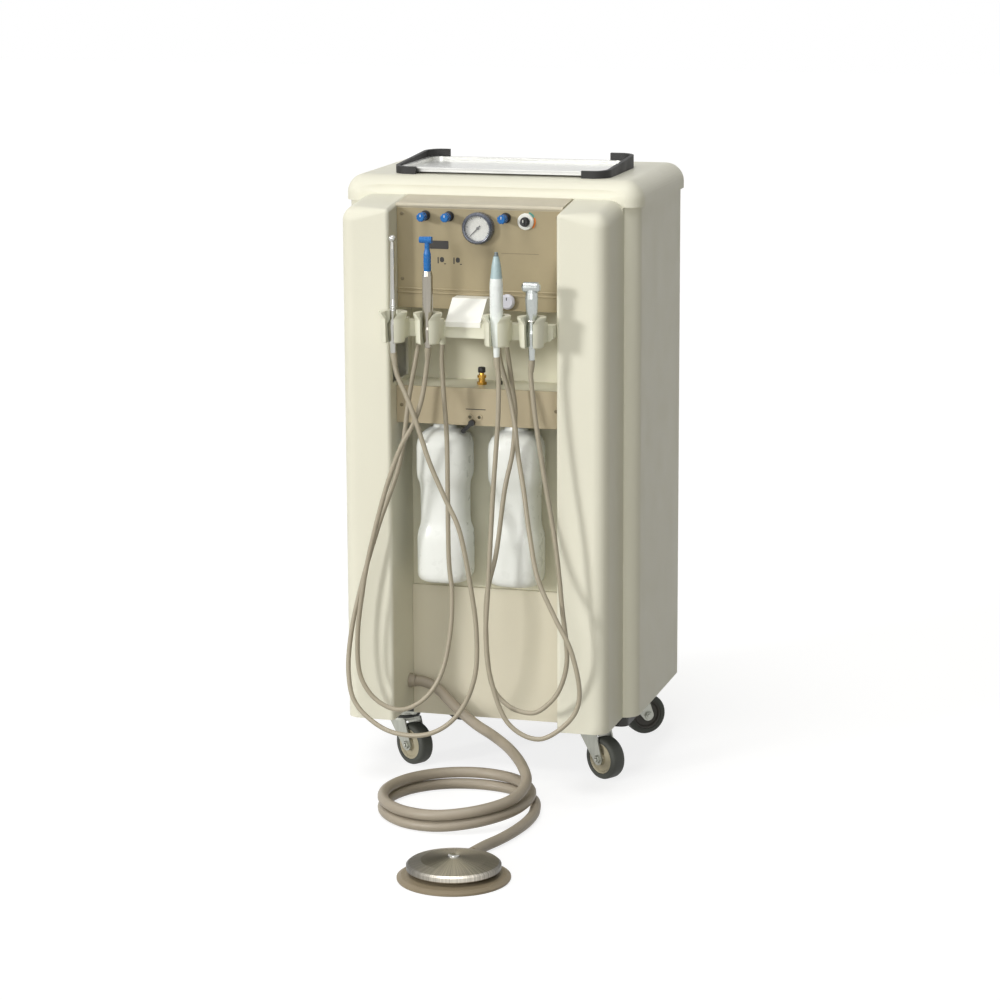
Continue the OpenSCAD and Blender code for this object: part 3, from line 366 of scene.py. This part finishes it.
def prism(points, origin, axis, depth, bevel=0.0, bm=None):
    """Flat outline pushed out along an axis, its far rim softened."""
    bm = bm or bmesh.new()
    place_at = frame_on(origin, axis)
    n = len(points)
    mid = Vector((sum(p[0] for p in points) / n, sum(p[1] for p in points) / n, 0))
    levels = [(0, 0.0), (depth - bevel, 0.0)] + ([(depth, bevel)] if bevel else [])
    rings = []
    for h, inset in levels:
        ring = []
        for p in points:
            v = Vector((p[0], p[1], 0))
            if inset:
                v = v - (v - mid).normalized() * inset
            ring.append(bm.verts.new(place_at @ (v + Vector((0, 0, h)))))
        rings.append(ring)
    for a, b in zip(rings, rings[1:]):
        for k in range(n):
            bm.faces.new([a[k], a[(k + 1) % n], b[(k + 1) % n], b[k]])
    bm.faces.new(rings[0][::-1])
    bm.faces.new(rings[-1])
    return bm


def round_rect(w, h, r, steps=5):
    pts = []
    for cx, cy, start in ((w / 2 - r, h / 2 - r, 0), (-w / 2 + r, h / 2 - r, 90),
                          (-w / 2 + r, -h / 2 + r, 180), (w / 2 - r, -h / 2 + r, 270)):
        for k in range(steps + 1):
            a = math.radians(start + 90 * k / steps)
            pts.append((cx + r * math.cos(a), cy + r * math.sin(a)))
    return pts


FRONT = Matrix.Rotation(math.radians(90), 4, "X")
UPRIGHT = FRONT @ Matrix.Rotation(math.pi, 4, "Z")  # undoes the half turn of frame_on for +Z


def front_plate(name, x, z, w, h, y, depth, material, body="cabinet", r=0.001, turn=0.0):
    """Thin plate on a face that looks to the front; y is the face it lies on, in local depth."""
    bm = prism(round_rect(w, h, r), (0, 0, 0), (0, 0, 1), depth, min(depth * 0.4, 0.0004))
    bm.transform(Matrix.Translation((x, y + FY, z)) @ Matrix.Rotation(turn, 4, "Y") @ FRONT)
    return place(name, bm, material, body)


def hexagon(r, turn=0):
    """Outline of a bolt head."""
    return [(r * math.cos(math.radians(60 * k + turn)), r * math.sin(math.radians(60 * k + turn)))
            for k in range(6)]


def screw(bm, origin, axis, r=0.003, h=0.0014):
    """Low round screw head, added to a mesh."""
    lathe([(0, 0), (r, 0), (r, h * 0.45), (r * 0.82, h * 0.85), (r * 0.45, h), (0, h)],
          origin, axis, 20, bm)


# ---------------------------------------------------------------- cords
def route_point(route, t):
    n = len(route) - 1
    i = min(int(t), n - 1)
    f = t - i
    a, b = Vector(route[max(i - 1, 0)]), Vector(route[i])
    c, d = Vector(route[i + 1]), Vector(route[min(i + 2, n)])
    return 0.5 * (2 * b + (c - a) * f + (2 * a - 5 * b + 4 * c - d) * f * f
                  + (3 * b - a - 3 * c + d) * f * f * f)


def hose(name, points, diameter, material, floor, node):
    n = len(points) - 1
    line = []
    for k in range(n * 8 + 1):
        p = route_point(points, k / 8)
        line.append(Vector((p.x, p.y + FY * 1000, max(p.z, floor))) / 1000)
    length = sum((b - a).length for a, b in zip(line, line[1:]))
    curve = bpy.data.curves.new(name, "CURVE")
    curve.dimensions = "3D"
    spline = curve.splines.new("POLY")
    spline.points.add(len(line) - 1)
    for point, p in zip(spline.points, line):
        point.co = (*p, 1)
    curve.bevel_depth = diameter / 2
    curve.bevel_resolution = 5
    curve.use_fill_caps = True
    curve.materials.append(material)
    piece = bpy.data.objects.new(name, curve)
    bpy.context.scene.collection.objects.link(piece)
    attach(piece, "cabinet")
    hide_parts(node)
    return line, length


# millimetres from here to the foot route: tails below the cups, nipples under the bar, hose points
TAIL, NIPPLE_X, NIPPLE_Y, NIPPLE_Z = (16, 6, 16, 18), (-79, -43, 41, 53), -5, 670
ROUTES = [
    [(-98, -52, -55), (-85, -54, -83), (-70, -56, -119), (-48, -57, -183), (-25, -59, -233),
     (-2, -61, -283), (15, -62, -370), (22, -62, -430), (20, -62, -490), (2, -62, -540),
     (-28, -62, -574), (-68, -62, -590), (-121, -56, -586), (-166, -50, -554), (-180, -44, -510),
     (-178, -36, -450), (-163, -28, -375), (-137, -22, -285), (-107, -14, -195), (-94, -9, -102),
     (-84, -6, -45)],
    [(-53, -48, -38), (-62, -46, -90), (-76, -45, -130), (-97, -44, -168), (-121, -44, -234),
     (-146, -43, -326), (-158, -42, -387), (-166, -41, -448), (-164, -40, -508), (-141, -40, -545),
     (-104, -38, -560), (-67, -34, -542), (-42, -28, -503), (-30, -22, -444), (-28, -17, -384),
     (-34, -13, -326), (-36, -10, -164), (-41, -8, -91), (-44, -6, -40)],
    [(54, -51, -60), (53, -53, -121), (46, -54, -220), (38, -56, -364), (35, -58, -434),
     (42, -60, -495), (68, -62, -560), (115, -62, -582), (160, -62, -552), (176, -62, -512),
     (164, -62, -449), (139, -60, -400), (112, -54, -345), (97, -44, -282), (86, -34, -222),
     (75, -24, -173), (68, -16, -130), (58, -11, -85), (45, -8, -42)],
    [(101, -49, -50), (108, -47, -120), (119, -45, -195), (136, -43, -300), (145, -42, -390),
     (152, -41, -462), (142, -40, -508), (122, -40, -536), (97, -40, -550), (60, -38, -540),
     (34, -34, -502), (27, -28, -393), (40, -18, -318), (50, -8, -228), (60, 0, -172),
     (63, 4, -116), (59, 4, -79), (55, 0, -40)],
]
for i, route in enumerate(ROUTES):
    cup_low = CUP_BOTTOM * 1000
    points = [(CUP_X[i] * 1000, CUP_Y * 1000, cup_low - TAIL[i])] + \
             [(x, y, z + cup_low + 10) for x, y, z in route] + [(NIPPLE_X[i], NIPPLE_Y, NIPPLE_Z)]
    line, length = hose("hose_%d" % (i + 1), points, HOSE_WIDTH, HOSE, 0,
                        "instrument_hose_%d" % (i + 1))
    boot = lathe([(0.0034, 0.0), (0.0047, 0.0), (0.0048, 0.003), (0.0041, 0.016), (0.0036, 0.018)],
                 line[0], (line[8] - line[0]).normalized(), 32)
    place("hose_boot_%d" % (i + 1), boot, HOSE, "cabinet")
    print("hose", i + 1, "length", round(length, 3))

FOOT_ROUTE = [
    (-104, 80, 140.5), (-91, 80, 136.5), (-77, 79, 128), (-63, 78, 115), (-48, 76, 102), (-32, 72, 91),
    (-12, 62, 82), (18, 42, 74), (52, 8, 66), (84, -40, 57), (104, -92, 48), (99, -150, 40),
    (60, -192, 33), (4, -209, 27), (-51, -193, 24.6), (-91, -153, 24.3), (-106, -98, 24.3),
    (-91, -42, 24.3), (-51, 0, 24.3), (4, 15, 24.6), (59, -1, 24.6), (96, -43, 24.5),
    (108, -98, 24.3), (97, -152, 22), (58, -192, 16), (4, -207, 10), (-51, -193, 8), (-91, -153, 8),
    (-106, -98, 8), (-91, -43, 8), (-51, -3, 8), (4, 11, 8), (60, -2, 8), (101, -42, 8), (118, -96, 8),
    (121, -142, 8), (116, -188, 8), (106, -232, 8), (93, -270, 8)]
_, foot_length = hose(
    "foot_hose_tube", [(-114.7, 80, 141)] + FOOT_ROUTE + [(85, -302, 8)], FOOT_HOSE_WIDTH, FOOT_HOSE,
    8, "foot_hose")
print("foot hose length", round(foot_length, 3))


# ---------------------------------------------------------------- bottles
def bottle_piece(name, x, node, body):
    """Thin blown bottle: soft square section with a waist, seam and neck."""
    levels = [(0.0015, 0.026, 2.6), (0.0, 0.031, 2.8), (0.003, 0.0362, 3.0), (0.008, 0.0386, 3.3),
              (0.015, 0.039, 3.5), (0.064, 0.039, 3.5), (0.074, 0.0382, 3.5), (0.084, 0.0352, 3.4),
              (0.094, 0.034, 3.4), (0.138, 0.034, 3.4), (0.148, 0.0352, 3.4), (0.157, 0.0382, 3.5),
              (0.166, 0.039, 3.5), (0.203, 0.039, 3.5), (0.212, 0.0378, 3.3), (0.219, 0.0345, 3.0),
              (0.2245, 0.0292, 2.6), (0.228, 0.0235, 2.2), (0.2295, 0.0185, 2.0), (0.232, 0.0170, 2.0),
              (0.242, 0.0167, 2.0), (0.260, 0.0167, 2.0)]
    bm, seg, rings = bmesh.new(), 72, []
    for z, half, power in levels:
        ring = []
        for k in range(seg):
            a = 2 * math.pi * k / seg
            c, s = math.cos(a), math.sin(a)
            r = half / (abs(c) ** power + abs(s) ** power) ** (1 / power)
            ring.append(bm.verts.new((x + r * c, 0.055 + FY + r * s, 0.308 + z)))
        rings.append(ring)
    for a, b in zip(rings, rings[1:]):
        for k in range(seg):
            bm.faces.new([a[k], a[(k + 1) % seg], b[(k + 1) % seg], b[k]])
    bm.faces.new(rings[0][::-1])
    piece = place(name, bm, BOTTLE, body, 50, [node])
    wall = piece.modifiers.new("wall", "SOLIDIFY")
    wall.thickness, wall.offset = 0.0016, -1
    return piece


bottle_piece("bottle_left", -0.0585, "water_bottle", "left_bottle")
bottle_piece("bottle_right", 0.0505, "waste_bottle", "right_bottle")

# ---------------------------------------------------------------- casters
NAMES = ["front_left", "front_right", "rear_left", "rear_right"]
TURN = [-33, -33, 37, 37]
for i, where in enumerate(NAMES):
    t = math.radians(TURN[i])
    along, axle = Vector((math.cos(t), math.sin(t), 0)), Vector((-math.sin(t), math.cos(t), 0))
    swivel = Vector(((-0.15, 0.15)[i % 2], (0.130, 0.358)[i // 2] + FY, 0))
    hub_at = swivel + along * CASTER_TRAIL + Vector((0, 0, WHEEL_RADIUS))
    tyre = lathe([(0.0228, -0.0105), (0.0236, -0.0118), (0.0286, -0.0118), (0.0308, -0.0102),
                  (0.0318, -0.0078), (0.032, -0.004), (0.032, 0.004), (0.0318, 0.0078),
                  (0.0308, 0.0102), (0.0286, 0.0118), (0.0236, 0.0118), (0.0228, 0.0105),
                  (0.0224, 0.0), (0.0228, -0.0105)], hub_at, axle, 72)
    place("tyre_" + where, tyre, TYRE, "wheel_" + where, 40, ["caster_wheel_%d" % (i + 1)])
    hub = bmesh.new()
    lathe([(0.0, -0.0128), (0.0082, -0.0128), (0.009, -0.012), (0.0094, -0.0094), (0.0135, -0.0076),
           (0.0185, -0.0078), (0.0205, -0.0102), (0.0228, -0.0108), (0.0228, 0.0108),
           (0.0205, 0.0102), (0.0185, 0.0078), (0.0135, 0.0076), (0.0094, 0.0094), (0.009, 0.012),
           (0.0082, 0.0128), (0.0, 0.0128)], hub_at, axle, 64, hub)
    # the rear-right hub takes the darker copy of the hub colour, painted shade under the cabinet
    place("hub_" + where, hub, (HUB, HUB, HUB, HUB_PAINTED_SHADE)[i], "wheel_" + where, 30)
    bolt = bmesh.new()
    for side in (1, -1):
        prism(hexagon(0.0062), hub_at + axle * side * 0.0165, axle * side, 0.0036, 0.0006, bolt)
        lathe([(0, 0), (0.0032, 0), (0.0032, 0.0018), (0.0024, 0.0024), (0, 0.0024)],
              hub_at + axle * side * 0.0200, axle * side, 24, bolt)
    place("axle_bolt_" + where, bolt, ZINC, "fork_" + where, 30)
    race = lathe([(0.0232, 0.0), (0.0244, 0.0007), (0.0244, 0.0033), (0.0232, 0.004), (0.0195, 0.004),
                  (0.0195, 0.0), (0.0232, 0.0)], swivel + Vector((0, 0, 0.0724)), (0, 0, 1), 56)
    place("swivel_race_" + where, race, DARK_METAL, "fork_" + where, 30)
    bolts = bmesh.new()
    for dx in (-0.021, 0.021):
        for dy in (-0.020, 0.020):
            at = swivel + Vector((dx, dy, 0.083))
            prism(hexagon(0.0052, 15), at, (0, 0, -1), 0.0035, 0.0005, bolts)
    place("plate_bolts_" + where, bolts, ZINC, "cabinet", 30)

# ---------------------------------------------------------------- control panel
front_plate("label_plate", -0.063, 0.808, 0.033, 0.012, PANEL_Y, 0.0006, PLATE,
            r=0.0015)


def arc_mark(name, start, end, material):
    """Printed arc on the panel around the selector."""
    turns = [math.radians(start + (end - start) * k / 8) for k in range(9)]
    points = [(0.0123 * math.cos(a), 0.0123 * math.sin(a)) for a in turns] + \
             [(0.0147 * math.cos(a), 0.0147 * math.sin(a)) for a in turns[::-1]]
    bm = prism(points, (0, 0, 0), (0, 0, 1), 0.0004)
    bm.transform(Matrix.Translation((SELECTOR_X, PANEL_Y + FY, SELECTOR_Z)) @ UPRIGHT)
    place(name, bm, material, "cabinet")


arc_mark("selector_mark_orange", -42, 24, ORANGE)
arc_mark("selector_mark_teal", 30, 70, TEAL)
for group, x in (("a", -0.0565), ("b", -0.0325)):
    front_plate("mark_%s_ring" % group, x, 0.7865, 0.0062, 0.0075, PANEL_Y, 0.0004, PLATE,
                r=0.0028)
    front_plate("mark_%s_stem" % group, x - 0.0058, 0.7855, 0.0016, 0.0095, PANEL_Y, 0.0004, PLATE,
                r=0.0006)
    front_plate("mark_%s_foot" % group, x + 0.0046, 0.7805, 0.0030, 0.0014, PANEL_Y, 0.0004, PLATE,
                r=0.0005)
front_plate("panel_rule", 0.061, 0.7985, 0.056, 0.0007, PANEL_Y, 0.0003, TAN_DARK,
            r=0.0003)
screws = bmesh.new()
for x in (-0.117, 0.117):
    for y, z in ((PANEL_Y, 0.852), (PANEL_Y, 0.757), (SERVICE_Y, 0.572)):
        screw(screws, (x, y + FY, z), (0, -1, 0), 0.0026, 0.001)
place("panel_screws", screws, TAN_DARK, "cabinet", 40)

ticks = bmesh.new()
for k in range(28):
    a = math.radians(225 - k * 10)
    major = k % 5 == 0
    r0, r1, w = 0.0148 if major else 0.0160, 0.0178, 0.0005 if major else 0.00028
    outline = [(r0, -w), (r1, -w), (r1, w), (r0, w)]
    turned = [(x * math.cos(a) - y * math.sin(a), x * math.sin(a) + y * math.cos(a))
              for x, y in outline]
    strip = prism(turned, (0, 0, 0), (0, 0, 1), 0.00025)
    strip.transform(Matrix.Translation((0, 0.0335 + FY, GAUGE_Z)) @ UPRIGHT)
    held = bpy.data.meshes.new("tick")
    strip.to_mesh(held)
    strip.free()
    ticks.from_mesh(held)
    bpy.data.meshes.remove(held)
place("dial_ticks", ticks, INK, "cabinet", 30)
place("gauge_window", lathe([(0, 0), (0.0184, 0), (0.0184, 0.0012), (0.0176, 0.0018), (0, 0.0019)],
                            (0, 0.0292 + FY, GAUGE_Z), (0, -1, 0), 64), GLASS, "cabinet", 40)
rim = lathe([(0.0186, -0.002), (0.0192, 0.0003), (0.0204, 0.0007), (0.0204, -0.002)],
            (0, 0.026 + FY, GAUGE_Z), (0, -1, 0), 72)
place("gauge_lip", rim, BEZEL, "cabinet", 40)

# index marks on the three knobs and the selector
for name, x in zip(("air", "water", "coolant"), KNOB_X):
    front_plate(name + "_index", x, KNOB_INDEX_Z, 0.0012, 0.0036, 0.014, 0.0003, WHITE,
                name + "_valve", 0.0004)
front_plate("selector_index", SELECTOR_X, 0.8478, 0.0012, 0.004, 0.023, 0.0004, WHITE,
            "selector", 0.0004)
front_plate("low_control_index", 0.043, 0.7335, 0.0014, 0.0042, 0.0305, 0.0004, BLACK,
            "low_control", 0.0004)

# ---------------------------------------------------------------- service area
front_plate("service_line", -0.004, 0.570, 0.030, 0.0012, SERVICE_Y, 0.0003, PLATE,
            r=0.0004)
cap = lathe([(0.0, 0.0), (0.0052, 0.0), (0.0056, 0.0012), (0.0056, 0.006), (0.0048, 0.0078),
             (0, 0.0082)], (-0.005, 0.066 + FY, 0.6188), (0, 0, 1), 40)
place("coupling_cap", cap, BLACK, "cabinet", 40)
stub = bmesh.new()
lathe([(0, 0), (0.0045, 0), (0.0045, 0.004), (0.0032, 0.0055), (0.0032, 0.009), (0.0024, 0.010),
       (0, 0.010)], (0.020, 0.072 + FY, 0.601), (0, 0, 1), 32, stub)
place("ledge_stub", stub, BLACK, "cabinet", 40)

# ---------------------------------------------------------------- instruments
rings = bmesh.new()
for h in (0.046, 0.0495, 0.053):
    lathe([(0.0042, h - 0.0009), (0.0050, h), (0.0042, h + 0.0009)], (CUP_X[0], CUP_Y + FY, CUP_BOTTOM),
          (0, 0, 1), 40, rings)
place("syringe_rings", rings, CHROME, "syringe", 40)
nib = lathe([(0.00395, 0.1278), (0.0028, 0.1301), (0.0025, 0.1338), (0.0, 0.1339)],
            (CUP_X[2], CUP_Y + FY, CUP_BOTTOM), (0, 0, 1), 32)
place("scaler_nib", nib, NIB, "scaler", 40)
collar = lathe([(0.0072, 0.0362), (0.0079, 0.037), (0.0079, 0.0392), (0.0074, 0.040)],
               (CUP_X[3], CUP_Y + FY, CUP_BOTTOM), (0, 0, 1), 48)
place("turbine_collar", collar, CHROME, "turbine", 40)

# ---------------------------------------------------------------- foot control
hub = lathe([(0, 0.0352), (0.004, 0.0351), (0.0066, 0.0345), (0.0078, 0.0334), (0.0080, 0.0314)],
            (FOOT_X, FOOT_Y + FY, 0), (0, 0, 1), 40)
place("pedal_boss", hub, CHROME, "pedal", 40)

# ---------------------------------------------------------------- rear details
rear = bmesh.new()
for x in (-0.170, 0.170):
    for z in (0.16, 0.33, 0.50, 0.67, 0.838):
        screw(rear, (x, 0.396 + FY, z), (0, 1, 0), 0.0036)
place("rear_screws", rear, ZINC, "cabinet", 40)
pins = bmesh.new()
for dx, dz in ((-0.007, -0.002), (0.007, -0.002), (0, 0.003)):
    prism(round_rect(0.002, 0.006, 0.0006), (dx, 0.379 + FY, 0.205 + dz), (0, 1, 0), 0.013,
          0.0005, pins)
place("inlet_pins", pins, BRASS, "cabinet", 40)

# ---------------------------------------------------------------- stage and light
floor = bpy.data.meshes.new("floor")
floor.from_pydata([(-14, -14, -0.0003), (14, -14, -0.0003), (14, 14, -0.0003), (-14, 14, -0.0003)],
                  [], [(0, 1, 2, 3)])
floor_object = bpy.data.objects.new("floor", floor)
bpy.context.scene.collection.objects.link(floor_object)
ground = Shader("floor_white", 0.9)
# what the part sees of the floor is darker and warmer than what the camera sees
ground.colour(ground.ramp(ground.noise(2, 2), [(0.3, (0.40, 0.385, 0.33)), (0.7, (0.42, 0.405, 0.35))]))
ground.bsdf.inputs["Specular IOR Level"].default_value = 0.0
path = ground.node("ShaderNodeLightPath")
glow, matte = ground.node("ShaderNodeEmission"), ground.node("ShaderNodeBsdfDiffuse")
glow.inputs["Strength"].default_value = 0.80
matte.inputs["Color"].default_value = (0.30, 0.30, 0.30, 1)
join, hold = ground.node("ShaderNodeAddShader"), ground.node("ShaderNodeMixShader")
out = ground.tree.nodes["Material Output"]
ground.link(matte.outputs[0], join.inputs[0])
ground.link(glow.outputs[0], join.inputs[1])
seen = ground.maths("MAXIMUM", path.outputs["Is Camera Ray"], ground.maths(
    "MAXIMUM", path.outputs["Is Glossy Ray"], path.outputs["Is Transmission Ray"]))
ground.link(seen, hold.inputs[0])
ground.link(ground.bsdf.outputs[0], hold.inputs[1])
ground.link(join.outputs[0], hold.inputs[2])
ground.link(hold.outputs[0], out.inputs["Surface"])
floor.materials.append(ground.mat)

world = bpy.data.worlds.new("studio")
bpy.context.scene.world = world
world.use_nodes = True
tree = world.node_tree
soft = tree.nodes["Background"]
soft.inputs["Color"].default_value = (1.0, 0.97, 0.84, 1)
# the surroundings light the part more from the left than from the right
around = tree.nodes.new("ShaderNodeTexCoord")
parts = tree.nodes.new("ShaderNodeSeparateXYZ")
tree.links.new(around.outputs["Generated"], parts.inputs[0])
level = tree.nodes.new("ShaderNodeMapRange")
level.inputs["From Min"].default_value, level.inputs["From Max"].default_value = -1, 1
level.inputs["To Min"].default_value, level.inputs["To Max"].default_value = 0.36, 0.10
tree.links.new(parts.outputs["X"], level.inputs["Value"])
tree.links.new(level.outputs[0], soft.inputs["Strength"])
white = tree.nodes.new("ShaderNodeBackground")
white.inputs["Color"].default_value = (1, 1, 1, 1)
white.inputs["Strength"].default_value = 1.0
rays = tree.nodes.new("ShaderNodeLightPath")
top = tree.nodes.new("ShaderNodeMath")
top.operation = "MAXIMUM"
tree.links.new(rays.outputs["Is Camera Ray"], top.inputs[0])
tree.links.new(rays.outputs["Is Transmission Ray"], top.inputs[1])
both = tree.nodes.new("ShaderNodeMath")
both.operation = "MAXIMUM"
tree.links.new(top.outputs[0], both.inputs[0])
tree.links.new(rays.outputs["Is Glossy Ray"], both.inputs[1])
blend = tree.nodes.new("ShaderNodeMixShader")
tree.links.new(both.outputs[0], blend.inputs[0])
tree.links.new(soft.outputs[0], blend.inputs[1])
tree.links.new(white.outputs[0], blend.inputs[2])
tree.links.new(blend.outputs[0], tree.nodes["World Output"].inputs["Surface"])


def sun(name, direction, strength, angle, colour=(1, 1, 1)):
    data = bpy.data.lights.new(name, "SUN")
    data.energy, data.angle, data.color = strength * math.pi, math.radians(angle), colour
    lamp = bpy.data.objects.new(name, data)
    bpy.context.scene.collection.objects.link(lamp)
    lamp.rotation_euler = Vector(direction).to_track_quat("-Z", "Y").to_euler()


sun("key", (0.60, 0.78, -0.22), 0.48, 9, (1, 0.995, 0.985))
sun("fill", (-0.12, 0.96, -0.2), 0.27, 40)
sun("top", (0.05, 0.35, -0.94), 0.42, 30)

bpy.context.scene.view_settings.view_transform = "Standard"
